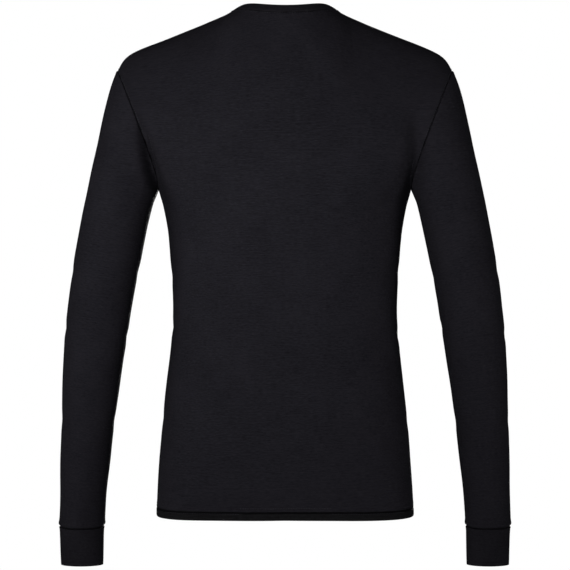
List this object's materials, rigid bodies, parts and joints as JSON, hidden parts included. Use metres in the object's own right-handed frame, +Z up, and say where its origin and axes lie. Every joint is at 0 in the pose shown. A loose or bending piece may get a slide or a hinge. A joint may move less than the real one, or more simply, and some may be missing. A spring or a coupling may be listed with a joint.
{
  "type": "base layer top",
  "caption": "Long-sleeved crew neck base layer top in thin jersey, filled out as if worn but empty: open neck, hem, armholes and cuffs, set-in sleeves.",
  "frame": {"origin": "the middle of the neck, at the height where the shoulder seams reach the neck band: the top hangs from there on its wearer", "axes": "+Z up the body, +Y out of the back, -Y out of the front, +X to the wearer's left"},
  "size_m": [0.6174, 0.2217, 0.7614],
  "materials": {
    "jersey": "fine matt jersey knit, near black",
    "band_jersey": "the same jersey folded double, near black"
  },
  "bodies": {
    "root": {"back_panel": "jersey", "front_panel": "jersey", "left_sleeve": "jersey", "right_sleeve": "jersey", "neck_band": "band_jersey", "left_cuff": "band_jersey", "right_cuff": "band_jersey"}
  },
  "joints": []
}
